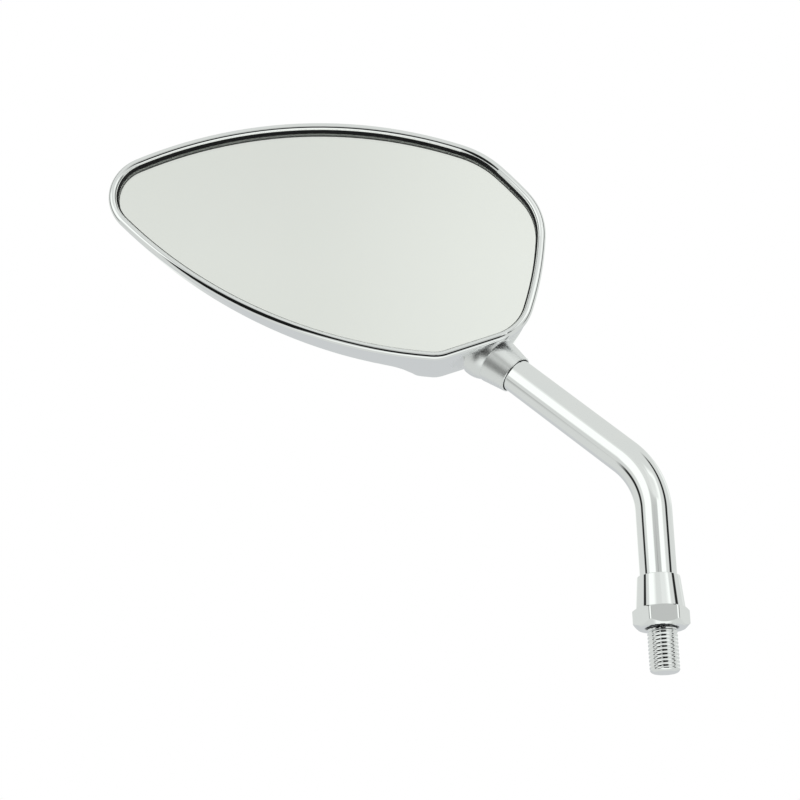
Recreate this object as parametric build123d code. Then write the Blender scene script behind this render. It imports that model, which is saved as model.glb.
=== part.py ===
from build123d import *
import os
from math import cos, degrees, radians, sin, sqrt, tan

# Handlebar mirror for a motorcycle, in millimetres, +Z up. A chromed bar is bent once: its lower end is a
# threaded stud with a lock nut, and its upper end carries a ball on which the mirror head turns.
# The origin is on the stud's axis in the plane of the nut's underside, and the glass faces -Y.

# Stem
STEM_DIAMETER = 12.4
STEM_RISE = 52.4  # nut seat to the corner where the two straight legs would meet
STEM_BEND_ANGLE = 46.5
STEM_BEND_RADIUS = 28.0
STEM_YAW = 18.4  # plane of the bend, turned back from the plane of the glass
NECK_LENGTH = 78.5  # corner of the bend to the centre of the ball
STUD_DIAMETER = 10.0
STUD_LENGTH = 14.8
STUD_CHAMFER = 1.4
UNDERCUT_DIAMETER = 9.2  # groove at the upper end of the stud's free thread, inside the nut's countersink
UNDERCUT_WIDTH = 0.8
UNDERCUT_DROP = 0.1  # from the nut's underside down to the edge of the groove

# Lock nut with a tapered skirt, and the seal washer inside it
NUT_ACROSS_FLATS = 16.8
NUT_HEX_HEIGHT = 6.4
NUT_CORNER_ROUND = 1.2
NUT_SEAT_DIAMETER = 15.9
NUT_CHAMFER_ANGLE = 45.0
NUT_SHOULDER_ANGLE = 30.0  # chamfer on the upper corners of the hexagon
NUT_COUNTERSINK = 0.8
NUT_SKIRT_HEIGHT = 11.0
NUT_SKIRT_BASE_DIAMETER = 16.4
NUT_SKIRT_TOP_DIAMETER = 14.3
NUT_SKIRT_ROUND = 0.25
NUT_LEDGE_HEIGHT = 8.0
THREAD_CLEARANCE = 0.06
SKIRT_CLEARANCE = 0.3
WASHER_THICKNESS = 1.2
WASHER_CLEARANCE = 0.3

# Ball stud and neck collar, with axial places measured from the ball's centre towards the stem
BALL_DIAMETER = 13.0
BALL_NECK_DIAMETER = 7.0
SHANK_DIAMETER = 6.0
SHANK_LENGTH = 16.0
SHANK_CLEARANCE = 0.02
COLLAR_MOUTH_PLACE = 15.3
COLLAR_MOUTH_DIAMETER = 14.0
COLLAR_END_DIAMETER = 17.2
COLLAR_END_LIP = 0.4
COLLAR_MOUTH_ROUND = 0.2
COLLAR_FLOOR_THICKNESS = 1.2
COLLAR_STEM_CLEARANCE = 0.35
COLLAR_LOBE_GAP = 0.35

# Ball socket
BALL_CLEARANCE = 0.06
SEAT_THICKNESS = 1.54
SEAT_OPENING_ANGLE = 42.0
SEAT_REAR_ANGLE = 80.0
CUP_FRONT_ANGLE = 100.0
SOCKET_CLEARANCE = 0.06
LOBE_DIAMETER = 19.8
LOBE_MOUTH_ANGLE = 37.5
LOBE_REACH = 1.0  # how far the lobe runs past the ball's centre into the housing
RELIEF_ANGLE = 76.0  # the wall is scooped out round the lobe, so that the collar can tilt
RELIEF_RADIUS = 20.0

# Head outline as seen from the front, measured from the ball's centre: the five corners in order
# (left tip, upper right, right shoulder, lower right, bottom), with the radius that rounds each one
# and the bow of the side that follows it
TIP_CORNER = (-144.0, 63.4)
UPPER_CORNER = (2.3, 72.9)
SHOULDER_CORNER = (23.4, 48.6)
LOWER_CORNER = (13.5, 1.4)
BOTTOM_CORNER = (-16.5, -8.3)
TIP_ROUND = 16.0
UPPER_ROUND = 38.5
SHOULDER_ROUND = 25.5
LOWER_ROUND = 18.5
BOTTOM_ROUND = 14.5
TOP_BOW = 18.2
SHOULDER_BOW = 0.8
RIGHT_BOW = 2.4
KEEL_BOW = 15.7

# Housing, with depths measured back from the front plane of the rim
BALL_DEPTH = 14.7
RIM_WIDTH = 2.9
RIM_DEPTH = 2.6
RIM_OUTER_ROUND = 1.65
RIM_INNER_ROUND = 1.15
RIM_BACK_ROUND = 0.2
WALL_STEP = 0.25  # the wall stands in from the edge of the rim
WALL_START = 2.0
WALL_DRAFT = 8.0
WALL_THICKNESS = 2.4
HUB_DEPTH = 31.5
WING_DEPTH = 22.0
WING_END_DEPTH = 12.5
HUB_AXIS_ANGLE = 46.0  # direction from the neck across the back, above -X
STEP_PLACE = 19.5  # ball centre to the middle of the step from hub to wing, along that direction
STEP_ANGLE = 62.0  # slope of the step
STEP_ROUND = 3.8
WING_END = 150.0
CROWN_RADIUS = 200.0
BACK_ROUND = 2.8

# Glass, gasket and backing
GLASS_RECESS = 2.8
GLASS_THICKNESS = 2.0
GASKET_WALL = 0.4
GASKET_LIP = 0.5
GASKET_OVERLAP = 0.2
LEDGE_WIDTH = 3.0
LEDGE_THICKNESS = 1.7
PAD_THICKNESS = 0.8
PAD_INSET = 12.0
BACKING_THICKNESS = 1.2
BACKING_INSET = 9.0

# Clamp block that presses the ball into its socket, and its two screws
CLAMP_FRONT = 8.5
CLAMP_THICKNESS = 7.0
CLAMP_WIDTH = 9.0
CLAMP_SCREW_SPACING = 24.0
CLAMP_OFFSET = 9.5  # ball centre to the screw line, square to the wall at the neck
CLAMP_SHIFT = -3.0  # along that wall
CLAMP_LOBE_GAP = 0.3
SCREW_DIAMETER = 4.0
SCREW_LENGTH = 10.5
SCREW_CLEARANCE = 0.2
SCREW_THREAD_CLEARANCE = 0.02
SCREW_HEAD_DIAMETER = 6.8
SCREW_HEAD_HEIGHT = 2.2
SCREW_HEAD_CLEARANCE = 0.3
SCREW_HEAD_SINK = 0.2
SCREW_SLOT_WIDTH = 1.0
SCREW_SLOT_DEPTH = 1.0
SPRING_WASHER_THICKNESS = 0.8
SPRING_WASHER_SPLIT = 0.8
BOSS_DIAMETER = 8.4
BOSS_HOLE_SPARE = 1.0


# Shared places
STEM_RADIUS = STEM_DIAMETER / 2
STUD_RADIUS = STUD_DIAMETER / 2
BALL_RADIUS = BALL_DIAMETER / 2
LOBE_RADIUS = LOBE_DIAMETER / 2
SEAT_INNER = BALL_RADIUS + BALL_CLEARANCE
SEAT_OUTER = SEAT_INNER + SEAT_THICKNESS
SOCKET_RADIUS = SEAT_OUTER + SOCKET_CLEARANCE
SHOULDER_HEIGHT = NUT_LEDGE_HEIGHT + WASHER_THICKNESS + WASHER_CLEARANCE

bend = radians(STEM_BEND_ANGLE)
yaw = radians(STEM_YAW)
neck_direction = Vector(-sin(bend) * cos(yaw), sin(bend) * sin(yaw), cos(bend))
ball_centre = Vector(0, 0, STEM_RISE) + neck_direction * NECK_LENGTH

# Along the neck: local Z runs from the ball's centre back towards the stem
neck = Plane(origin=ball_centre, x_dir=(0, 0, 1), z_dir=-neck_direction)
# The same, turned half round, so that the seams of the lobe lie away from those of its mouth
lobe_frame = neck * Rot(0, 0, 180)

# On the rim: local X and Y are the object's X and Z, and local -Z is depth into the housing
rim = Plane(origin=ball_centre - Vector(0, BALL_DEPTH, 0), x_dir=(1, 0, 0), z_dir=(0, -1, 0))
INWARD = (0, 0, -1)

collar_hollow_radius = LOBE_RADIUS + COLLAR_LOBE_GAP
ball_neck_radius = BALL_NECK_DIAMETER / 2
shank_radius = SHANK_DIAMETER / 2
ball_neck_end = sqrt(collar_hollow_radius**2 - ball_neck_radius**2)
collar_floor = ball_neck_end + COLLAR_FLOOR_THICKNESS
shank_end = ball_neck_end + SHANK_LENGTH


def turned(*edges):
    """Solid turned about local Z from a closed outline drawn as (radius, height)."""
    return revolve(Plane.XZ * make_face(edges), Axis.Z)


def turned_polygon(*points):
    """Solid turned about local Z from straight runs between (radius, height) points."""
    return turned(*Polyline(*points, close=True).edges())


def spherical_zone(inner, outer, start_angle, end_angle):
    """Zone of a spherical shell about the ball's centre, between two angles from local +Z."""
    def at(radius, angle):
        return (radius * sin(radians(angle)), radius * cos(radians(angle)))

    middle = (start_angle + end_angle) / 2
    return turned(
        ThreePointArc(at(outer, start_angle), at(outer, middle), at(outer, end_angle)),
        Line(at(outer, end_angle), at(inner, end_angle)),
        ThreePointArc(at(inner, end_angle), at(inner, middle), at(inner, start_angle)),
        Line(at(inner, start_angle), at(outer, start_angle)),
    )


# Stem: the bar up to its shoulder and the stud below it, drilled at the top for the ball stud
def make_stem():
    tangent_length = STEM_BEND_RADIUS * tan(bend / 2)
    corner = Vector(0, 0, STEM_RISE)
    lower_leg = Line((0, 0, SHOULDER_HEIGHT), (0, 0, STEM_RISE - tangent_length))
    curve = TangentArc(lower_leg @ 1, corner + neck_direction * tangent_length, tangent=(0, 0, 1))
    upper_leg = Line(curve @ 1, corner + neck_direction * (NECK_LENGTH - collar_floor))
    section = Plane(lower_leg @ 0, z_dir=(0, 0, 1)) * Circle(STEM_RADIUS)
    bar = sweep(section, path=Wire([lower_leg, curve, upper_leg]))

    stud = turned_polygon(
        (0, -STUD_LENGTH),
        (STUD_RADIUS - STUD_CHAMFER, -STUD_LENGTH),
        (STUD_RADIUS, STUD_CHAMFER - STUD_LENGTH),
        (STUD_RADIUS, SHOULDER_HEIGHT),
        (0, SHOULDER_HEIGHT),
    )
    undercut = turned_polygon(
        (UNDERCUT_DIAMETER / 2, -UNDERCUT_DROP),
        (STEM_RADIUS, -UNDERCUT_DROP),
        (STEM_RADIUS, UNDERCUT_WIDTH - UNDERCUT_DROP),
        (UNDERCUT_DIAMETER / 2, UNDERCUT_WIDTH - UNDERCUT_DROP),
    )
    hole_end = shank_end + SHANK_CLEARANCE
    hole = neck * turned_polygon(
        (0, 0),
        (shank_radius + SHANK_CLEARANCE, 0),
        (shank_radius + SHANK_CLEARANCE, hole_end),
        (0, hole_end),
    )
    return bar + stud - undercut - hole


# Lock nut: a hexagon chamfered at both ends, and a skirt that slides over the stem's shoulder
def make_lock_nut():
    flat_radius = NUT_ACROSS_FLATS / 2
    corner_radius = flat_radius / cos(radians(30))
    slope = tan(radians(NUT_CHAMFER_ANGLE))
    shoulder_drop = (corner_radius - flat_radius) * tan(radians(NUT_SHOULDER_ANGLE))
    seat_radius = NUT_SEAT_DIAMETER / 2
    base_radius = NUT_SKIRT_BASE_DIAMETER / 2
    top = NUT_HEX_HEIGHT + NUT_SKIRT_HEIGHT

    hexagon = extrude(RegularPolygon(flat_radius, 6, major_radius=False), NUT_HEX_HEIGHT)
    hexagon = fillet(hexagon.edges().filter_by(Axis.Z), NUT_CORNER_ROUND)
    chamfers = turned_polygon(
        (0, 0),
        (seat_radius, 0),
        (corner_radius, (corner_radius - seat_radius) * slope),
        (corner_radius, NUT_HEX_HEIGHT - shoulder_drop),
        (flat_radius, NUT_HEX_HEIGHT),
        (0, NUT_HEX_HEIGHT),
    )
    skirt = turned_polygon(
        (0, NUT_HEX_HEIGHT),
        (base_radius, NUT_HEX_HEIGHT),
        (NUT_SKIRT_TOP_DIAMETER / 2, top),
        (0, top),
    )
    skirt = fillet(skirt.edges().sort_by(Axis.Z)[-1], NUT_SKIRT_ROUND)
    bore_radius = STUD_RADIUS + THREAD_CLEARANCE
    skirt_bore = STEM_RADIUS + SKIRT_CLEARANCE
    opening = turned_polygon(
        (0, 0),
        (bore_radius + NUT_COUNTERSINK, 0),
        (bore_radius, NUT_COUNTERSINK),
        (bore_radius, NUT_LEDGE_HEIGHT),
        (skirt_bore, NUT_LEDGE_HEIGHT),
        (skirt_bore, top),
        (0, top),
    )
    return (hexagon & chamfers) + skirt - opening


# Seal washer: lies on the ledge inside the nut and is squeezed against the stem's shoulder
def make_seal_washer():
    inner = STUD_RADIUS + WASHER_CLEARANCE
    outer = STEM_RADIUS
    return turned_polygon(
        (inner, NUT_LEDGE_HEIGHT),
        (outer, NUT_LEDGE_HEIGHT),
        (outer, NUT_LEDGE_HEIGHT + WASHER_THICKNESS),
        (inner, NUT_LEDGE_HEIGHT + WASHER_THICKNESS),
    )


# Ball stud: the ball, its neck and a shank pressed into the stem
def make_ball_stud():
    neck_start = sqrt(BALL_RADIUS**2 - ball_neck_radius**2)
    return neck * turned(
        ThreePointArc((0, -BALL_RADIUS), (BALL_RADIUS, 0), (ball_neck_radius, neck_start)),
        Line((ball_neck_radius, neck_start), (ball_neck_radius, ball_neck_end)),
        Line((ball_neck_radius, ball_neck_end), (shank_radius, ball_neck_end)),
        Line((shank_radius, ball_neck_end), (shank_radius, shank_end)),
        Line((shank_radius, shank_end), (0, shank_end)),
        Line((0, shank_end), (0, -BALL_RADIUS)),
    )


# Neck collar: a tapered cover whose hollow end follows the lobe and whose mouth takes the stem
def make_collar():
    hole = shank_radius + SHANK_CLEARANCE
    bore = STEM_RADIUS + COLLAR_STEM_CLEARANCE
    mouth = COLLAR_MOUTH_DIAMETER / 2
    end = COLLAR_END_DIAMETER / 2
    lip = end - COLLAR_END_LIP
    lip_place = sqrt(collar_hollow_radius**2 - lip**2)
    hollow_middle = (lip + ball_neck_radius) / 2
    middle_place = sqrt(collar_hollow_radius**2 - hollow_middle**2)
    profile = Polyline(
        (lip, lip_place),
        (end, lip_place),
        (mouth, COLLAR_MOUTH_PLACE),
        (bore, COLLAR_MOUTH_PLACE),
        (bore, collar_floor),
        (hole, collar_floor),
        (hole, ball_neck_end),
        (ball_neck_radius, ball_neck_end),
    )
    hollow = ThreePointArc((ball_neck_radius, ball_neck_end), (hollow_middle, middle_place), (lip, lip_place))
    collar = turned(*profile.edges(), hollow)
    mouth_edge = collar.edges().group_by(Axis.Z)[-1].sort_by(SortBy.RADIUS)[-1]
    return neck * fillet(mouth_edge, COLLAR_MOUTH_ROUND)


# Nylon seats on the two sides of the ball
def make_socket_seat():
    return neck * spherical_zone(SEAT_INNER, SEAT_OUTER, SEAT_OPENING_ANGLE, SEAT_REAR_ANGLE)


def make_pressure_cup():
    return neck * spherical_zone(SEAT_INNER, SEAT_OUTER, CUP_FRONT_ANGLE, 180)


# Head outline, at the edge of the rim
def head_outline():
    corners = (TIP_CORNER, UPPER_CORNER, SHOULDER_CORNER, LOWER_CORNER, BOTTOM_CORNER)
    rounds = (TIP_ROUND, UPPER_ROUND, SHOULDER_ROUND, LOWER_ROUND, BOTTOM_ROUND)
    outline = make_face([
        SagittaArc(TIP_CORNER, UPPER_CORNER, TOP_BOW),
        SagittaArc(UPPER_CORNER, SHOULDER_CORNER, SHOULDER_BOW),
        SagittaArc(SHOULDER_CORNER, LOWER_CORNER, RIGHT_BOW),
        Line(LOWER_CORNER, BOTTOM_CORNER),
        SagittaArc(BOTTOM_CORNER, TIP_CORNER, KEEL_BOW),
    ])
    for corner, radius in zip(corners, rounds):
        outline = fillet(outline.vertices().sort_by_distance(corner)[0], radius)
    return outline


outline = head_outline().face()
outline_middle = outline.center()


def inset_outline(inset, depth):
    """The head's outline with each arc and line moved in, at a depth behind the rim's front."""
    def moved(edge, share):
        point = edge @ share
        tangent = edge % share
        inward = Vector(-tangent.Y, tangent.X)
        if inward.dot(outline_middle - point) < 0:
            inward = -inward
        return point + inward * inset

    edges = []
    for edge in outline.outer_wire().order_edges():
        if edge.geom_type == GeomType.LINE:
            edges.append(Line(moved(edge, 0), moved(edge, 1)))
        else:
            edges.append(ThreePointArc(moved(edge, 0), moved(edge, 0.5), moved(edge, 1)))
    return Pos(0, 0, -depth) * make_face(edges)


def slab(inset, front, back):
    """Plate with the head's outline, set in, between two depths."""
    return extrude(inset_outline(inset, front), amount=back - front, dir=INWARD)


def ring(outer_inset, inner_inset, front, back):
    return slab(outer_inset, front, back) - slab(inner_inset, front, back)


def drafted_walls(inset, front, back):
    """Block with the head's outline that draws in towards the back."""
    def at(depth):
        return inset_outline(inset + (depth - WALL_START) * tan(radians(WALL_DRAFT)), depth)

    return loft([at(front), at(back)], ruled=True)


def crowned_back(thinner):
    """Everything in front of the housing's back: a hub by the neck, stepping down in an S to a long
    wing, and crowned across by turning that profile about an axis far in front of the rim."""
    along = Vector(-cos(radians(HUB_AXIS_ANGLE)), sin(radians(HUB_AXIS_ANGLE)), 0)
    profile_plane = Plane(origin=(0, 0, 0), x_dir=along, z_dir=along.cross(Vector(*INWARD)))
    hub = HUB_DEPTH - thinner
    wing = WING_DEPTH - thinner
    wing_end = WING_END_DEPTH - thinner
    step = STEP_PLACE - thinner * tan(radians(STEP_ANGLE / 2))
    half_run = (hub - wing) / tan(radians(STEP_ANGLE)) / 2
    hub_edge = (step - half_run, hub)
    wing_edge = (step + half_run, wing)
    profile = make_face([
        Line((-WING_END, 0), (-WING_END, hub)),
        Line((-WING_END, hub), hub_edge),
        Line(hub_edge, wing_edge),
        TangentArc(wing_edge, (WING_END, wing_end), tangent=(1, 0)),
        Line((WING_END, wing_end), (WING_END, 0)),
        Line((WING_END, 0), (-WING_END, 0)),
    ])
    for edge in (hub_edge, wing_edge):
        profile = fillet(profile.vertices().sort_by_distance(edge)[0], STEP_ROUND)
    axis = Axis(Vector(0, 0, CROWN_RADIUS), along)
    sweep_angle = degrees(WING_END / CROWN_RADIUS)
    return revolve(profile_plane * profile, axis, sweep_angle).rotate(axis, -sweep_angle / 2)


def screw_places():
    """The two screws of the clamp, on a line along the wall by the neck."""
    along_wall = (Vector(*LOWER_CORNER) - Vector(*BOTTOM_CORNER)).normalized()
    into_head = Vector(-along_wall.Y, along_wall.X)
    middle = into_head * CLAMP_OFFSET + along_wall * CLAMP_SHIFT
    reach = along_wall * (CLAMP_SCREW_SPACING / 2)
    return middle - reach, middle + reach


pocket_floor = GLASS_RECESS + GLASS_THICKNESS + GASKET_LIP
clamp_back = CLAMP_FRONT + CLAMP_THICKNESS
washer_floor = CLAMP_FRONT + SCREW_HEAD_SINK + SCREW_HEAD_HEIGHT + SPRING_WASHER_THICKNESS
screw_head_back = washer_floor - SPRING_WASHER_THICKNESS
screw_end = screw_head_back + SCREW_LENGTH
screw_radius = SCREW_DIAMETER / 2


def bar_at(place, radius, front, back):
    """Round bar square to the rim, between two depths."""
    circle = Pos(place.X, place.Y, -front) * Circle(radius)
    return extrude(circle, amount=back - front, dir=INWARD)


def sector(radius, angle):
    """Ball sector about local +Z: a cone from the ball's centre with a domed end."""
    edge = (radius * sin(radians(angle)), radius * cos(radians(angle)))
    half_edge = (radius * sin(radians(angle / 2)), radius * cos(radians(angle / 2)))
    return turned(
        Line((0, 0), edge),
        ThreePointArc(edge, half_edge, (0, radius)),
        Line((0, radius), (0, 0)),
    )


# Housing: one casting with a rounded rim, drafted walls, a crowned back and the lobe for the ball
def make_rim_bead():
    bead = ring(0, RIM_WIDTH, 0, RIM_DEPTH)
    bead = fillet(bead.faces().sort_by(Axis.Z)[-1].outer_wire().edges(), RIM_OUTER_ROUND)
    bead = fillet(bead.faces().sort_by(Axis.Z)[-1].inner_wires()[0].edges(), RIM_INNER_ROUND)
    return fillet(bead.faces().sort_by(Axis.Z)[0].outer_wire().edges(), RIM_BACK_ROUND)


def make_housing_block():
    block = drafted_walls(WALL_STEP, WALL_START, HUB_DEPTH + BACK_ROUND) & crowned_back(0)
    back_faces = block.faces().filter_by(lambda face: face.normal_at().Z < -0.5)
    edges = back_faces.edges()
    back_loop = [edge for edge in edges if sum(edge.is_same(other) for other in edges) == 1]
    return fillet(back_loop, BACK_ROUND)


def make_lobe(larger):
    """The round lobe about the ball, from its outer end to just past the ball's centre."""
    radius = LOBE_RADIUS + larger
    reach = LOBE_REACH + larger
    widest = sqrt(radius**2 - reach**2)
    return lobe_frame * turned(
        ThreePointArc((0, radius), (radius, 0), (widest, -reach)),
        Line((widest, -reach), (0, -reach)),
        Line((0, -reach), (0, radius)),
    )


def make_housing():
    ledge_back = pocket_floor + LEDGE_THICKNESS
    pocket = slab(RIM_WIDTH, 0, pocket_floor)
    opening = slab(RIM_WIDTH + LEDGE_WIDTH, pocket_floor, ledge_back)
    inner_walls = drafted_walls(WALL_STEP + WALL_THICKNESS, ledge_back, HUB_DEPTH)
    cavity = inner_walls & crowned_back(WALL_THICKNESS)
    block = make_housing_block()

    relief = lobe_frame * spherical_zone(LOBE_RADIUS, RELIEF_RADIUS, 0, RELIEF_ANGLE)
    housing = rim * block + make_lobe(0) - relief
    housing = housing + rim * make_rim_bead() - rim * opening - (rim * cavity - make_lobe(0))
    housing = housing - rim * pocket
    for place in screw_places():
        boss = bar_at(place, BOSS_DIAMETER / 2, clamp_back, HUB_DEPTH) & block
        hole_radius = screw_radius + SCREW_THREAD_CLEARANCE
        hole = bar_at(place, hole_radius, clamp_back, screw_end + BOSS_HOLE_SPARE)
        housing = housing + rim * boss - rim * hole
    mouth = neck * sector(LOBE_RADIUS + COLLAR_LOBE_GAP, LOBE_MOUTH_ANGLE)
    return housing - neck * Sphere(SOCKET_RADIUS) - mouth


# Clamp block: bears on the inner cup and is drawn back by two screws with spring washers
def make_clamp_block():
    first, second = screw_places()
    slot = Pos(0, 0, -CLAMP_FRONT) * SlotCenterPoint((first + second) / 2, second, CLAMP_WIDTH)
    block = extrude(slot, amount=CLAMP_THICKNESS, dir=INWARD)
    for place in (first, second):
        head_hole = SCREW_HEAD_DIAMETER / 2 + SCREW_HEAD_CLEARANCE
        block -= bar_at(place, head_hole, CLAMP_FRONT, washer_floor)
        block -= bar_at(place, screw_radius + SCREW_CLEARANCE, washer_floor, clamp_back)
    return rim * block - neck * Sphere(SOCKET_RADIUS) - make_lobe(CLAMP_LOBE_GAP)


def make_screw(place):
    head = bar_at(place, SCREW_HEAD_DIAMETER / 2, CLAMP_FRONT + SCREW_HEAD_SINK, screw_head_back)
    shank = bar_at(place, screw_radius, screw_head_back, screw_end)
    slot_depth = CLAMP_FRONT + SCREW_HEAD_SINK + SCREW_SLOT_DEPTH / 2
    slot = Pos(place.X, place.Y, -slot_depth) * Box(SCREW_HEAD_DIAMETER, SCREW_SLOT_WIDTH, SCREW_SLOT_DEPTH)
    return rim * (head + shank - slot)


def make_spring_washer(place):
    outer = bar_at(place, SCREW_HEAD_DIAMETER / 2, screw_head_back, washer_floor)
    inner = bar_at(place, screw_radius + SCREW_CLEARANCE, screw_head_back, washer_floor)
    middle_depth = (screw_head_back + washer_floor) / 2
    split_place = place + Vector(SCREW_HEAD_DIAMETER / 2, 0)
    split = Pos(split_place.X, split_place.Y, -middle_depth) * Box(
        SCREW_HEAD_DIAMETER, SPRING_WASHER_SPLIT, SPRING_WASHER_THICKNESS
    )
    return rim * (outer - inner - split)


# Gasket: a rubber channel between the rim and the edge of the glass, with a lip on each side
def make_gasket():
    glass_inset = RIM_WIDTH + GASKET_WALL
    glass_back = GLASS_RECESS + GLASS_THICKNESS
    front_lip = ring(RIM_WIDTH, glass_inset + GASKET_OVERLAP, GLASS_RECESS - GASKET_LIP, GLASS_RECESS)
    web = ring(RIM_WIDTH, glass_inset, GLASS_RECESS, glass_back)
    back_lip = ring(RIM_WIDTH, RIM_WIDTH + LEDGE_WIDTH, glass_back, pocket_floor)
    return rim * (front_lip + web + back_lip)


# Glass, silvered on its back, with the foam pad and the plate bonded behind it
def make_glass():
    return rim * slab(RIM_WIDTH + GASKET_WALL, GLASS_RECESS, GLASS_RECESS + GLASS_THICKNESS)


def make_foam_pad():
    front = GLASS_RECESS + GLASS_THICKNESS
    return rim * slab(PAD_INSET, front, front + PAD_THICKNESS)


def make_backing_plate():
    front = GLASS_RECESS + GLASS_THICKNESS + PAD_THICKNESS
    return rim * slab(BACKING_INSET, front, front + BACKING_THICKNESS)


nodes = {
    "stem": make_stem(),
    "lock_nut": make_lock_nut(),
    "seal_washer": make_seal_washer(),
    "ball_stud": make_ball_stud(),
    "neck_collar": make_collar(),
    "socket_seat": make_socket_seat(),
    "pressure_cup": make_pressure_cup(),
    "housing_shell": make_housing(),
    "clamp_block": make_clamp_block(),
    "clamp_screws": Compound([make_screw(place) for place in screw_places()]),
    "spring_washers": Compound([make_spring_washer(place) for place in screw_places()]),
    "rim_gasket": make_gasket(),
    "mirror_glass": make_glass(),
    "foam_pad": make_foam_pad(),
    "backing_plate": make_backing_plate(),
}

os.makedirs("parts", exist_ok=True)
for name, shape in nodes.items():
    export_step(shape, f"parts/{name}.step")
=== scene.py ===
import bmesh
import bpy
from math import cos, degrees, pi, radians, sin, sqrt, tan
from mathutils import Matrix, Vector


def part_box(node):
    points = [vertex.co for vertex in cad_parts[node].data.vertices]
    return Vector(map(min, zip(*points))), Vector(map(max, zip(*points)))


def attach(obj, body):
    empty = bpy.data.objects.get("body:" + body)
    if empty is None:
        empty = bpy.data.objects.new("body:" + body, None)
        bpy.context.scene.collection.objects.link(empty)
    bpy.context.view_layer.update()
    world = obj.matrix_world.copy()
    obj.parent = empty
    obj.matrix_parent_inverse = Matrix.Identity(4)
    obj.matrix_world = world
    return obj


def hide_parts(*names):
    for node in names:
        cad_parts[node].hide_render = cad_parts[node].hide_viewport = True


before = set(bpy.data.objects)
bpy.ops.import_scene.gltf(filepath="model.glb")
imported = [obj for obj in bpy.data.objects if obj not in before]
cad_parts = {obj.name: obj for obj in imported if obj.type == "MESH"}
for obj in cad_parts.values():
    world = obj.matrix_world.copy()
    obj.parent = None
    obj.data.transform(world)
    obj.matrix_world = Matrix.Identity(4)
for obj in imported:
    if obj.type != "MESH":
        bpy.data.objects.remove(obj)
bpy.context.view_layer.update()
scene = bpy.context.scene


# Stem: a round steel bar, bent once on a roller and drilled at its upper end for the ball stud. The
# lower end is turned down to a stud with a rolled M10 thread. It is polished, then chrome plated.
MM = 0.001
BAR_RADIUS = 6.2 * MM
BAR_CORNER = Vector((0, 0, 52.4)) * MM  # where the two straight legs would meet
BEND_ANGLE = radians(46.5)
BEND_RADIUS = 28.0 * MM
BEND_YAW = radians(18.4)
BALL_PLACE = 78.5 * MM  # from that corner, along the upper leg
BAR_TOP = 67.666 * MM  # likewise
SHANK_HOLE_END = 52.846 * MM  # likewise
SHANK_HOLE_RADIUS = 3.02 * MM
SHOULDER_HEIGHT = 9.5 * MM
EDGE_BREAK = 0.3 * MM
STUD_RADIUS = 5.0 * MM
STUD_END = -14.8 * MM
STUD_CHAMFER = 1.4 * MM
GROOVE_RADIUS = 4.6 * MM
GROOVE_MIDDLE = 0.3 * MM
GROOVE_HALF_WIDTH = 0.4 * MM
THREAD_PITCH = 1.25 * MM
# Depth of the thread below its crest, over one pitch from crest to crest, in pitches
THREAD_DEPTH = (
    (0.0, 0.0), (0.09, 0.008), (0.2, 0.045), (0.32, 0.105), (0.42, 0.155),
    (0.5, 0.175), (0.58, 0.155), (0.68, 0.105), (0.8, 0.045), (0.91, 0.008),
)
SPARE_TURNS = 2  # of thread past each end of the stud, pressed flat there and welded away
BAR_COLUMNS = 96
LEG_STEP = 6.0 * MM
BEND_STEPS = 48
WELD_DISTANCE = 0.0005 * MM
SHARP_ANGLE = radians(40)

lean = Vector((-cos(BEND_YAW), sin(BEND_YAW), 0))  # level direction that the upper leg leans in
neck_direction = lean * sin(BEND_ANGLE) + Vector((0, 0, cos(BEND_ANGLE)))
ball_centre = BAR_CORNER + neck_direction * BALL_PLACE
bend_axis = Vector((0, 0, 1)).cross(neck_direction).normalized()
bend_reach = BEND_RADIUS * tan(BEND_ANGLE / 2)
bend_start = BAR_CORNER.z - bend_reach
bend_end = bend_start + BEND_RADIUS * BEND_ANGLE
bend_centre = Vector((0, 0, bend_start)) + lean * BEND_RADIUS
bar_end = bend_end + BAR_TOP - bend_reach
hole_end = bend_end + SHANK_HOLE_END - bend_reach


def thread_radius(height, turns):
    """Radius of the stud at a height, a number of turns round from its first thread."""
    place = (height / THREAD_PITCH - turns) % 1
    knots = THREAD_DEPTH + ((1.0, 0.0),)
    for (start, first), (end, last) in zip(knots, knots[1:]):
        if start <= place <= end:
            depth = first + (last - first) * (place - start) / (end - start)
    short = max(0, 1 - (height - STUD_END) / STUD_CHAMFER)
    chamfer = STUD_RADIUS - STUD_CHAMFER * (1 - sqrt(1 - short ** 2))
    groove = GROOVE_RADIUS + max(0, abs(height - GROOVE_MIDDLE) - GROOVE_HALF_WIDTH)
    return min(STUD_RADIUS - depth * THREAD_PITCH, chamfer, groove)


def bar_point(distance, radius, column):
    """Point on a ring round the bar's centre line, at a distance along it from the nut's seat."""
    angle = 2 * pi * column / BAR_COLUMNS
    offset = Vector((radius * cos(angle), radius * sin(angle), 0))
    if distance <= bend_start:
        return Vector((0, 0, distance)) + offset
    turned = min((distance - bend_start) / BEND_RADIUS, BEND_ANGLE)
    centre = bend_centre + BEND_RADIUS * (Vector((0, 0, sin(turned))) - lean * cos(turned))
    centre += neck_direction * max(0, distance - bend_end)
    return centre + Matrix.Rotation(turned, 3, bend_axis) @ offset


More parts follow.
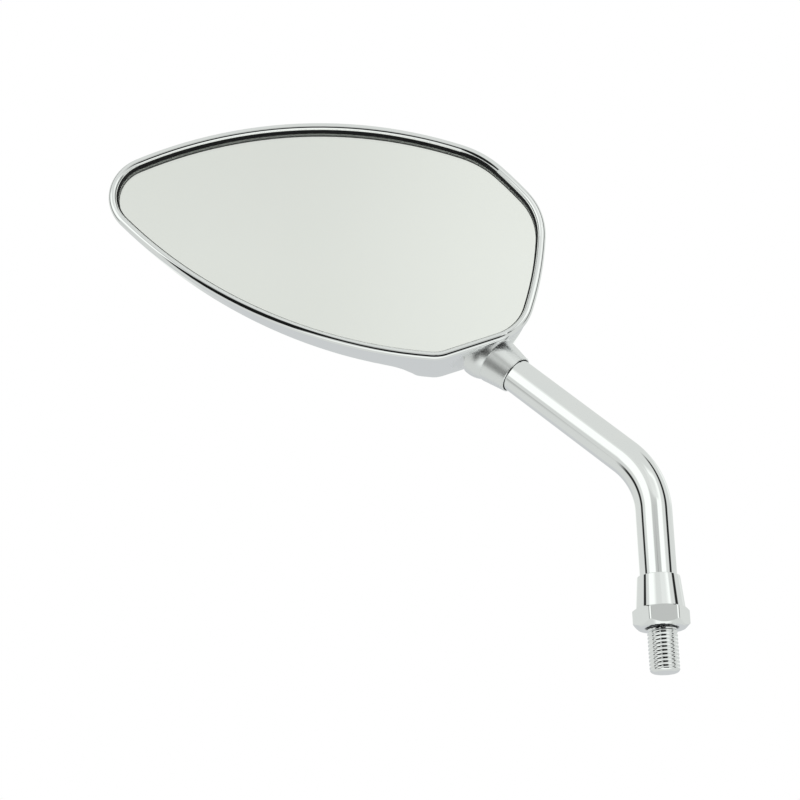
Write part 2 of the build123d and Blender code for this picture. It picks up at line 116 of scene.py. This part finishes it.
def stem_mesh():
    """The threaded stud, the bent bar and the hole in its upper end, in one closed skin."""
    shell = bmesh.new()
    knots_per_turn = len(THREAD_DEPTH)
    first_turn = int(STUD_END / THREAD_PITCH) - SPARE_TURNS
    last_turn = int(SHOULDER_HEIGHT / THREAD_PITCH) + SPARE_TURNS

    # Each row of the thread climbs one pitch in a turn, and ends where the next turn's row begins
    rows = []
    for turn in range(first_turn, last_turn):
        for share, _ in THREAD_DEPTH:
            row = []
            for column in range(BAR_COLUMNS):
                turns = column / BAR_COLUMNS
                height = (turn + share + turns) * THREAD_PITCH
                height = min(max(height, STUD_END), SHOULDER_HEIGHT)
                radius = thread_radius(height, turns)
                row.append(shell.verts.new(bar_point(height, radius, column)))
            rows.append(row)
    for index in range(len(rows) - 1):
        low = list(rows[index])
        high = list(rows[index + 1])
        if index + 1 + knots_per_turn < len(rows):
            low.append(rows[index + knots_per_turn][0])
            high.append(rows[index + 1 + knots_per_turn][0])
        for column in range(len(low) - 1):
            shell.faces.new((low[column], low[column + 1], high[column + 1], high[column]))

    # Rings from the shoulder up the bar, over its end and down the drilled hole
    leg_steps = int((bar_end - bend_end) / LEG_STEP)
    foot_steps = int((bend_start - SHOULDER_HEIGHT) / LEG_STEP)
    rings = [(SHOULDER_HEIGHT, BAR_RADIUS - EDGE_BREAK)]
    for step in range(foot_steps):
        start = SHOULDER_HEIGHT + EDGE_BREAK
        rings.append((start + (bend_start - start) * step / foot_steps, BAR_RADIUS))
    for step in range(BEND_STEPS + 1):
        rings.append((bend_start + (bend_end - bend_start) * step / BEND_STEPS, BAR_RADIUS))
    for step in range(1, leg_steps + 1):
        rings.append((bend_end + (bar_end - EDGE_BREAK - bend_end) * step / leg_steps, BAR_RADIUS))
    rings.append((bar_end, BAR_RADIUS - EDGE_BREAK))
    rings.append((bar_end, SHANK_HOLE_RADIUS))
    rings.append((hole_end, SHANK_HOLE_RADIUS))
    last = rows[-1]
    for distance, radius in rings:
        ring = [shell.verts.new(bar_point(distance, radius, column)) for column in range(BAR_COLUMNS)]
        for column in range(BAR_COLUMNS):
            after = (column + 1) % BAR_COLUMNS
            shell.faces.new((last[column], last[after], ring[after], ring[column]))
        last = ring
    shell.faces.new(reversed(last))
    shell.faces.new(rows[0])
    bmesh.ops.remove_doubles(shell, verts=shell.verts, dist=WELD_DISTANCE)
    bmesh.ops.recalc_face_normals(shell, faces=shell.faces)
    for face in shell.faces:
        face.smooth = True
    mesh = bpy.data.meshes.new("threaded_stem")
    shell.to_mesh(mesh)
    shell.free()
    mesh.set_sharp_from_angle(angle=SHARP_ANGLE)
    return mesh


class Socket:
    """One output of a shader node; arithmetic on it adds Math nodes."""

    def __init__(self, tree, output):
        self.tree = tree
        self.output = output

    def math(self, operation, first, second):
        return self.tree.node("ShaderNodeMath", {"operation": operation}, {0: first, 1: second})

    def __add__(self, other):
        return self.math("ADD", self, other)

    __radd__ = __add__

    def __sub__(self, other):
        return self.math("SUBTRACT", self, other)

    def __rsub__(self, other):
        return self.math("SUBTRACT", other, self)

    def __mul__(self, other):
        return self.math("MULTIPLY", self, other)

    __rmul__ = __mul__


class Nodes:
    """The node tree of a material or world, written as expressions."""

    def __init__(self, owner):
        owner.use_nodes = True
        self.tree = owner.node_tree
        self.tree.nodes.clear()

    def node(self, kind, settings, inputs, output=0):
        made = self.tree.nodes.new(kind)
        for name, value in settings.items():
            setattr(made, name, value)
        for name, value in inputs.items():
            if isinstance(value, Socket):
                self.tree.links.new(value.output, made.inputs[name])
            else:
                made.inputs[name].default_value = value
        return Socket(self, made.outputs[output]) if made.outputs else None


def new_material(name, paint):
    """A material whose shader is made by a function of its node tree and the place on the piece."""
    material = bpy.data.materials.new(name)
    tree = Nodes(material)
    place = tree.node("ShaderNodeTexCoord", {}, {}, "Object")
    tree.node("ShaderNodeOutputMaterial", {}, {"Surface": paint(tree, place)})
    return material


def noise(tree, place, size, detail=2.0):
    """Noise with features of about that size, in metres."""
    return tree.node("ShaderNodeTexNoise", {}, {"Vector": place, "Scale": 1 / size, "Detail": detail})


def drawn_marks(tree, place, size):
    """Fine marks of the given sizes along X, Y and Z, in metres."""
    stretch = tuple(1 / length for length in size)
    drawn = tree.node("ShaderNodeMapping", {}, {"Vector": place, "Scale": stretch})
    return tree.node("ShaderNodeTexNoise", {}, {"Vector": drawn, "Scale": 1.0, "Detail": 4.0})


def blend_colours(tree, share, first, second):
    """The first colour where the share is 0, the second where it is 1."""
    return tree.node("ShaderNodeMix", {"data_type": "RGBA"}, {0: share, 6: (*first, 1), 7: (*second, 1)}, 2)


def bumped(tree, height, depth):
    """Normal of a surface with a relief of that depth, in metres."""
    return tree.node("ShaderNodeBump", {}, {"Height": height, "Distance": depth})


BORE_PAINTED_SHADE = (0.05, 0.05, 0.055, 1)  # painted shade, near black, inside a bore
BORE_EDGE = 0.4 * MM
HOLLOW_FADE = 3 * MM
HOLLOW_DULL = 0.3


def chrome(name, marks_size, dull=0.01, bore=0.0, hollow=0.0):
    """Bright chrome on polished metal: a breath of haze, a very shallow ripple and fine polishing marks,
    of the given sizes along X, Y and Z. Inside a bore of that radius round Z the colour is painted near
    black, as painted shade in the hole.
    Within the radius of a hollow round the ball's centre, where no buffing wheel reaches, it is dull."""
    def paint(tree, place):
        haze = noise(tree, place, 9 * MM, 3.0)
        ripple = noise(tree, place, 14 * MM, 1.0)
        marks = drawn_marks(tree, place, marks_size)
        plated = blend_colours(tree, haze, (0.91, 0.925, 0.935), (0.94, 0.945, 0.945))
        if bore:
            level = tree.node("ShaderNodeVectorMath", {"operation": "MULTIPLY"}, {0: place, 1: (1, 1, 0)})
            out = tree.node("ShaderNodeVectorMath", {"operation": "LENGTH"}, {0: level}, "Value")
            share = tree.node("ShaderNodeMapRange", {}, {
                "Value": out, "From Min": bore, "From Max": bore + BORE_EDGE,
            })
            # Inside the bore the colour is painted near black: painted shade in the hole
            plated = tree.node("ShaderNodeMix", {"data_type": "RGBA"}, {
                0: share, 6: BORE_PAINTED_SHADE, 7: plated,
            }, 2)
        roughness = dull + 0.03 * haze + 0.02 * marks
        if hollow:
            from_ball = tree.node("ShaderNodeVectorMath", {"operation": "DISTANCE"}, {
                0: place, 1: ball_centre,
            }, "Value")
            roughness += tree.node("ShaderNodeMapRange", {"interpolation_type": "SMOOTHSTEP"}, {
                "Value": from_ball, "From Min": hollow - HOLLOW_FADE, "From Max": hollow,
                "To Min": HOLLOW_DULL, "To Max": 0.0,
            })
        return tree.node("ShaderNodeBsdfPrincipled", {}, {
            "Base Color": plated,
            "Metallic": 1.0,
            "Roughness": roughness,
            "Normal": bumped(tree, ripple + 0.03 * marks, 0.004 * MM),
        })

    return new_material(name, paint)


stem = bpy.data.objects.new("threaded_stem", stem_mesh())
scene.collection.objects.link(stem)
stem.data.materials.append(chrome("stem_plating", (0.4 * MM, 0.4 * MM, 6 * MM)))
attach(stem, "stem")
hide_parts("stem")


# Lock nut: turned from hexagon bar, chamfered at both ends, with a tapered skirt that slides over the
# shoulder of the stem. It is plated like the stem, and the turning marks run round it.
NUT_BORE = 5.4 * MM  # radius inside which its bore is painted near black as shade


def put_on(node, material):
    """Gives a solid its material."""
    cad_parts[node].material_slots[0].material = material


# Its bore is painted near black: painted shade in the nut's hole
put_on("lock_nut", chrome("nut_plating_and_bore_shade", (4 * MM, 4 * MM, 0.3 * MM), bore=NUT_BORE))


# Seal washer: black rubber, punched from sheet, squeezed between the ledge in the nut and the shoulder
# of the stem. It keeps water out of the thread.
def rubber(name, dark, bloomed):
    """Black rubber with a fine skin and a faint bloom."""
    def paint(tree, place):
        bloom = noise(tree, place, 6 * MM, 4.0)
        skin = noise(tree, place, 0.12 * MM, 5.0)
        return tree.node("ShaderNodeBsdfPrincipled", {}, {
            "Base Color": blend_colours(tree, bloom, dark, bloomed),
            "Roughness": 0.34 + 0.2 * skin + 0.1 * bloom,
            "Specular IOR Level": 0.4,
            "Normal": bumped(tree, skin, 0.012 * MM),
        })

    return new_material(name, paint)


put_on("seal_washer", rubber("washer_rubber", (0.012, 0.012, 0.013), (0.03, 0.03, 0.03)))


# Ball stud: a steel ball, its neck and a shank in one turned piece, hardened and ground, with the shank
# pressed into the stem. Grease from the seats darkens it in places.
def ground_steel(name, bright, dark, marks_size, roughness):
    """Bare machined steel with marks of the given sizes along X, Y and Z."""
    def paint(tree, place):
        marks = drawn_marks(tree, place, marks_size)
        stain = noise(tree, place, 5 * MM, 5.0)
        return tree.node("ShaderNodeBsdfPrincipled", {}, {
            "Base Color": blend_colours(tree, stain, bright, dark),
            "Metallic": 1.0,
            "Roughness": roughness + 0.12 * marks + 0.08 * stain,
            "Normal": bumped(tree, marks, 0.003 * MM),
        })

    return new_material(name, paint)


put_on("ball_stud", ground_steel(
    "ground_ball_steel", (0.66, 0.65, 0.63), (0.5, 0.49, 0.47), (0.3 * MM, 0.3 * MM, 3 * MM), 0.16,
))


# Neck collar: a tapered cover turned from bar, hollowed to follow the lobe and slipped over the end of
# the stem, where it hides the joint. It is plated, but less finely polished than the stem.
COLLAR_DULL = 0.22

put_on("neck_collar", chrome("collar_plating", (0.5 * MM, 3 * MM, 0.5 * MM), dull=COLLAR_DULL))


# Nylon seats: two moulded shells, one on each side of the ball, that let the head be pushed by hand and
# stay where it is put.
def moulded_nylon(name):
    """Natural nylon, off white, with flow marks and a fine skin."""
    def paint(tree, place):
        flow = noise(tree, place, 4 * MM, 3.0)
        skin = noise(tree, place, 0.15 * MM, 4.0)
        return tree.node("ShaderNodeBsdfPrincipled", {}, {
            "Base Color": blend_colours(tree, flow, (0.82, 0.8, 0.73), (0.76, 0.73, 0.64)),
            "Roughness": 0.34 + 0.16 * skin,
            "Normal": bumped(tree, skin, 0.008 * MM),
        })

    return new_material(name, paint)


nylon = moulded_nylon("seat_nylon")
put_on("socket_seat", nylon)
put_on("pressure_cup", nylon)


# Housing: one zinc casting with a rounded rim, drafted walls, a crowned back and the lobe for the ball,
# chrome plated. It is buffed all over, except in the hollow round the lobe.
LOBE_HOLLOW = 15 * MM  # radius round the ball's centre

put_on("housing_shell", chrome("housing_plating", (0.6 * MM, 0.6 * MM, 5 * MM), hollow=LOBE_HOLLOW))


# Clamp block: a bare zinc casting inside the head, out of sight behind the glass. Two screws pull it
# against the inner nylon cup, which presses on the ball.
def cast_zinc(name):
    """As-cast zinc: a grainy grey skin with darker flow marks."""
    def paint(tree, place):
        flow = noise(tree, place, 3 * MM, 5.0)
        grain = noise(tree, place, 0.25 * MM, 5.0)
        return tree.node("ShaderNodeBsdfPrincipled", {}, {
            "Base Color": blend_colours(tree, flow, (0.58, 0.59, 0.6), (0.42, 0.43, 0.44)),
            "Metallic": 1.0,
            "Roughness": 0.36 + 0.22 * grain,
            "Normal": bumped(tree, grain, 0.03 * MM),
        })

    return new_material(name, paint)


put_on("clamp_block", cast_zinc("clamp_zinc_skin"))


# Clamp screws and spring washers: cold headed steel with a thin zinc plating, which draw the clamp block
# back against the bosses of the housing.
fastener_steel = ground_steel(
    "zinc_plated_steel", (0.7, 0.71, 0.72), (0.56, 0.57, 0.6), (0.8 * MM, 0.3 * MM, 0.8 * MM), 0.2,
)
put_on("clamp_screws", fastener_steel)
put_on("spring_washers", fastener_steel)


# Rim gasket: an extruded channel of black rubber, stretched round the edge of the glass and pushed into
# the rim with it. Only its front lip shows, as a thin dark line.
put_on("rim_gasket", rubber("gasket_rubber_skin", (0.006, 0.006, 0.007), (0.014, 0.014, 0.015)))


# Mirror: a plate of clear float glass cut to the outline and ground along its edge, silvered on its back.
# The silver lies 1.3 mm behind the front of the glass, so the gasket shows twice, once in the mirror.
SILVER_SIDE = 0.9  # a face that points further back than this is silvered, and further forward is clear
SILVER_DEPTH = 1.3 * MM
EDGE_CLEAR = 0.05 * MM  # between the ground edge and the gasket
SILVER_SLOT = 1
EDGE_SLOT = 2


def float_glass(name):
    """Clear glass, faintly green, with the slight draw of the float bath."""
    def paint(tree, place):
        draw = noise(tree, place, 45 * MM, 1.0)
        return tree.node("ShaderNodeBsdfPrincipled", {}, {
            "Base Color": blend_colours(tree, draw, (0.977, 0.985, 0.962), (0.983, 0.99, 0.97)),
            "Roughness": 0.0,
            "IOR": 1.52,
            "Transmission Weight": 1.0,
            "Normal": bumped(tree, draw, 0.001 * MM),
        })

    return new_material(name, paint)


def silver_coat(name):
    """Silver sprayed on the back of the glass, very slightly uneven."""
    def paint(tree, place):
        cloud = noise(tree, place, 30 * MM, 2.0)
        return tree.node("ShaderNodeBsdfPrincipled", {}, {
            "Base Color": blend_colours(tree, cloud, (0.98, 0.98, 0.972), (0.99, 0.99, 0.985)),
            "Metallic": 1.0,
            "Roughness": 0.004 + 0.004 * cloud,
        })

    return new_material(name, paint)


def ground_glass(name):
    """The edge of the plate where it was ground: pale, frosted and a little green."""
    def paint(tree, place):
        grit = noise(tree, place, 0.4 * MM, 3.0)
        return tree.node("ShaderNodeBsdfPrincipled", {}, {
            "Base Color": blend_colours(tree, grit, (0.74, 0.79, 0.75), (0.84, 0.88, 0.85)),
            "Roughness": 0.55 + 0.25 * grit,
            "Normal": bumped(tree, grit, 0.02 * MM),
        })

    return new_material(name, paint)


plate_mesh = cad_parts["mirror_glass"].data.copy()
plate_mesh.name = "silvered_plate"
plate_mesh.materials.clear()
plate_mesh.materials.append(float_glass("clear_float_glass"))
plate_mesh.materials.append(silver_coat("silver_on_glass"))
plate_mesh.materials.append(ground_glass("ground_glass_edge"))
low_corner, high_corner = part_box("mirror_glass")
plate_middle = (low_corner + high_corner) / 2
shrink = 1 - 2 * EDGE_CLEAR / (high_corner.z - low_corner.z)
for vertex in plate_mesh.vertices:
    vertex.co.x = plate_middle.x + (vertex.co.x - plate_middle.x) * shrink
    vertex.co.y = min(vertex.co.y, low_corner.y + SILVER_DEPTH)
    vertex.co.z = plate_middle.z + (vertex.co.z - plate_middle.z) * shrink
for face in plate_mesh.polygons:
    if face.normal.y > SILVER_SIDE:
        face.material_index = SILVER_SLOT
    elif face.normal.y > -SILVER_SIDE:
        face.material_index = EDGE_SLOT
plate = bpy.data.objects.new("silvered_plate", plate_mesh)
scene.collection.objects.link(plate)
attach(plate, "head")
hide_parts("mirror_glass")


# Foam pad: a sheet of black closed cell foam with glue on both sides. It holds the glass to its backing
# plate and takes up shaking.
FOAM_CELL = 0.35 * MM


def closed_cell_foam(name):
    """Black foam, pitted where its cells are cut open, with painted shade making the pits darker."""
    def paint(tree, place):
        cells = tree.node("ShaderNodeTexVoronoi", {}, {"Vector": place, "Scale": 1 / FOAM_CELL}, "Distance")
        shade = noise(tree, place, 3 * MM, 3.0)
        return tree.node("ShaderNodeBsdfPrincipled", {}, {
            # The pits of the cells are painted darker: painted shade in the hollows
            "Base Color": blend_colours(tree, cells, (0.02, 0.02, 0.021), (0.075, 0.075, 0.078)),
            "Roughness": 0.8 + 0.12 * shade,
            "Normal": bumped(tree, cells, 0.1 * MM),
        })

    return new_material(name, paint)


put_on("foam_pad", closed_cell_foam("pad_foam_cells"))


# Backing plate: a flat moulding of black plastic with a fine matt grain, glued to the back of the foam
# pad to keep the glass flat.
def grained_plastic(name):
    """Black plastic with a fine matt grain."""
    def paint(tree, place):
        grain = noise(tree, place, 0.3 * MM, 4.0)
        shade = noise(tree, place, 12 * MM, 2.0)
        return tree.node("ShaderNodeBsdfPrincipled", {}, {
            "Base Color": blend_colours(tree, shade, (0.018, 0.018, 0.019), (0.03, 0.03, 0.031)),
            "Roughness": 0.45 + 0.2 * grain,
            "Normal": bumped(tree, grain, 0.02 * MM),
        })

    return new_material(name, paint)


put_on("backing_plate", grained_plastic("backing_grain"))


# Floor: a pale matt disc well below the part, half see-through. From half a metre out it fades into the
# white round it, and neither the chrome nor the glass shows it.
FLOOR_HEIGHT = -300 * MM
FLOOR_RADIUS = 1600 * MM
FADE_START = 500 * MM
FLOOR_ALPHA = 0.5
FLOOR_SEGMENTS = 96


def floor_paint(tree, place):
    """Matt white, shown less and less towards the edge."""
    out = tree.node("ShaderNodeVectorMath", {"operation": "LENGTH"}, {0: place}, "Value")
    shown = tree.node("ShaderNodeMapRange", {"interpolation_type": "SMOOTHSTEP"}, {
        "Value": out, "From Min": FADE_START, "From Max": FLOOR_RADIUS,
        "To Min": FLOOR_ALPHA, "To Max": 0.0,
    })
    speckle = noise(tree, place, 3 * MM, 3.0)
    return tree.node("ShaderNodeBsdfPrincipled", {}, {
        "Base Color": blend_colours(tree, speckle, (0.84, 0.84, 0.84), (0.88, 0.88, 0.88)),
        "Roughness": 0.85,
        "Alpha": shown,
    })


floor_mesh = bpy.data.meshes.new("floor")
disc = bmesh.new()
bmesh.ops.create_circle(disc, cap_ends=True, segments=FLOOR_SEGMENTS, radius=FLOOR_RADIUS)
disc.to_mesh(floor_mesh)
disc.free()
floor_mesh.materials.append(new_material("pale_floor", floor_paint))
floor = bpy.data.objects.new("floor", floor_mesh)
floor.location = (0, 0, FLOOR_HEIGHT)
floor.visible_glossy = False
floor.visible_transmission = False
scene.collection.objects.link(floor)


# Studio: a white tent lit from outside, seen in the chrome and the glass. Azimuth is in degrees from the
# front, positive to the right, and elevation is above the horizon. The camera itself sees plain white.
TENT_LOW = 0.69
TENT_HIGH = 0.73
REAR_WALL = 0.63
REAR_LIGHT = 0.95
FRONT_FLOOR = 1.0
SOFT_BOX = 1.08
FRONT_GAP = 0.55
FRONT_TOP = 0.76
BLACK_FLAG = 0.02
BLACK_STAND = 0.01
STAND_SLOPE = 0.75  # degrees that the arm of the stand climbs in one degree to the right

world = bpy.data.worlds.new("white_tent")
scene.world = world
tent = Nodes(world)
heading = tent.node("ShaderNodeTexCoord", {}, {}, "Generated")
across = tent.node("ShaderNodeSeparateXYZ", {}, {0: heading}, "X")
away = tent.node("ShaderNodeSeparateXYZ", {}, {0: heading}, "Y")
height = tent.node("ShaderNodeSeparateXYZ", {}, {0: heading}, "Z")
azimuth = degrees(1) * tent.node("ShaderNodeMath", {"operation": "ARCTAN2"}, {0: across, 1: 0 - away})
elevation = degrees(1) * tent.node("ShaderNodeMath", {"operation": "ARCSINE"}, {0: height})
from_front = tent.node("ShaderNodeMath", {"operation": "ABSOLUTE"}, {0: azimuth})


def ramp_up(angle, start, end):
    """0 below one angle and 1 above the other, with a smooth change."""
    return tent.node("ShaderNodeMapRange", {"interpolation_type": "SMOOTHSTEP"}, {
        "Value": angle, "From Min": start, "From Max": end,
    })


def window(angle, start, end, soft):
    """1 between two angles, with soft edges."""
    rising = ramp_up(angle, start - soft, start + soft)
    return rising * (1 - ramp_up(angle, end - soft, end + soft))


def hung(light, level, mask):
    """The tent's light with a panel of another level hung in front of it."""
    return light + mask * (level - light)


light = hung(TENT_LOW, TENT_HIGH, ramp_up(elevation, -12, 10))
rear_wall = ramp_up(from_front, 132, 150) * window(elevation, -28, 9, 5)
light = hung(light, REAR_WALL, rear_wall)
rear_panel = ramp_up(from_front, 154, 168) * window(elevation, 12, 30, 3)
light = hung(light, REAR_LIGHT, rear_panel)
side_box = window(azimuth, 122, 148, 6) * window(elevation, 18, 36, 4)
light = hung(light, REAR_LIGHT, side_box)
low_front = window(azimuth, -70, 70, 15) * (1 - ramp_up(elevation, -54, -45))
light = hung(light, FRONT_FLOOR, low_front)
left_box = window(azimuth, -62, -22, 4) * window(elevation, -8, 29, 4)
light = hung(light, SOFT_BOX, left_box)
right_box = window(azimuth, 15, 45, 5) * window(elevation, 4, 39, 4)
light = hung(light, SOFT_BOX, right_box)
front_gap = window(azimuth, -19, 14.5, 3) * window(elevation, -20, 20.5, 1.5)
light = hung(light, FRONT_GAP + 0.09 * ramp_up(elevation, 14, 20), front_gap)
front_top = window(azimuth, -30, 30, 10) * window(elevation, 20.5, 34, 1.5)
glow = FRONT_TOP + 0.08 * ramp_up(azimuth, -4, 5) - 0.025 * ramp_up(elevation, 24, 29)
light = hung(light, glow, front_top)
left_flag = window(azimuth, -94, -79, 2.5) * window(elevation, -16, 60, 8)
light = hung(light, BLACK_FLAG, left_flag)
right_flag = window(azimuth, 68, 85, 2.5) * window(elevation, -18, 54, 6)
light = hung(light, BLACK_FLAG, right_flag)
camera_stand = window(azimuth, -18, 26, 4) * window(elevation, -44, -4, 3)
light = hung(light, BLACK_STAND, camera_stand)
slant = elevation - STAND_SLOPE * azimuth
arm_of_stand = window(slant, -13, 19, 2) * window(azimuth, -72, -5, 3)
arm_of_stand *= ramp_up(elevation, -50, -44)
light = hung(light, BLACK_STAND, arm_of_stand)

tint = blend_colours(tent, rear_wall, (0.98, 1.01, 0.975), (0.962, 0.992, 1.0))
seen_by_part = tent.node("ShaderNodeBackground", {}, {"Color": tint, "Strength": light})
seen_by_camera = tent.node("ShaderNodeBackground", {}, {"Color": (1, 1, 1, 1), "Strength": 1.0})
camera_ray = tent.node("ShaderNodeLightPath", {}, {}, "Is Camera Ray")
tent.node("ShaderNodeOutputWorld", {}, {
    "Surface": tent.node("ShaderNodeMixShader", {}, {0: camera_ray, 1: seen_by_part, 2: seen_by_camera}),
})


# Camera: in front of the part and below it, looking up and rolled a little, with a long lens.
# Its lens and sensor are in millimetres.
LENS_LENGTH = 81.0
SENSOR_WIDTH = 36.0
CAMERA_PLACE = Vector((-84.78, -583.05, -132.15)) * MM
CAMERA_TILT = radians(20.17)
CAMERA_ROLL = radians(-1.16)

camera_data = bpy.data.cameras.new("camera")
camera_data.lens = LENS_LENGTH
camera_data.sensor_width = SENSOR_WIDTH
camera = bpy.data.objects.new("camera", camera_data)
scene.collection.objects.link(camera)
level_right = Vector((1, 0, 0))
forward = Vector((0, cos(CAMERA_TILT), sin(CAMERA_TILT)))
level_up = level_right.cross(forward)
right = level_right * cos(CAMERA_ROLL) + level_up * sin(CAMERA_ROLL)
up = level_up * cos(CAMERA_ROLL) - level_right * sin(CAMERA_ROLL)
axes = Matrix((right, up, -forward)).transposed().to_4x4()
camera.matrix_world = Matrix.Translation(CAMERA_PLACE) @ axes
scene.camera = camera
scene.view_settings.view_transform = "Standard"
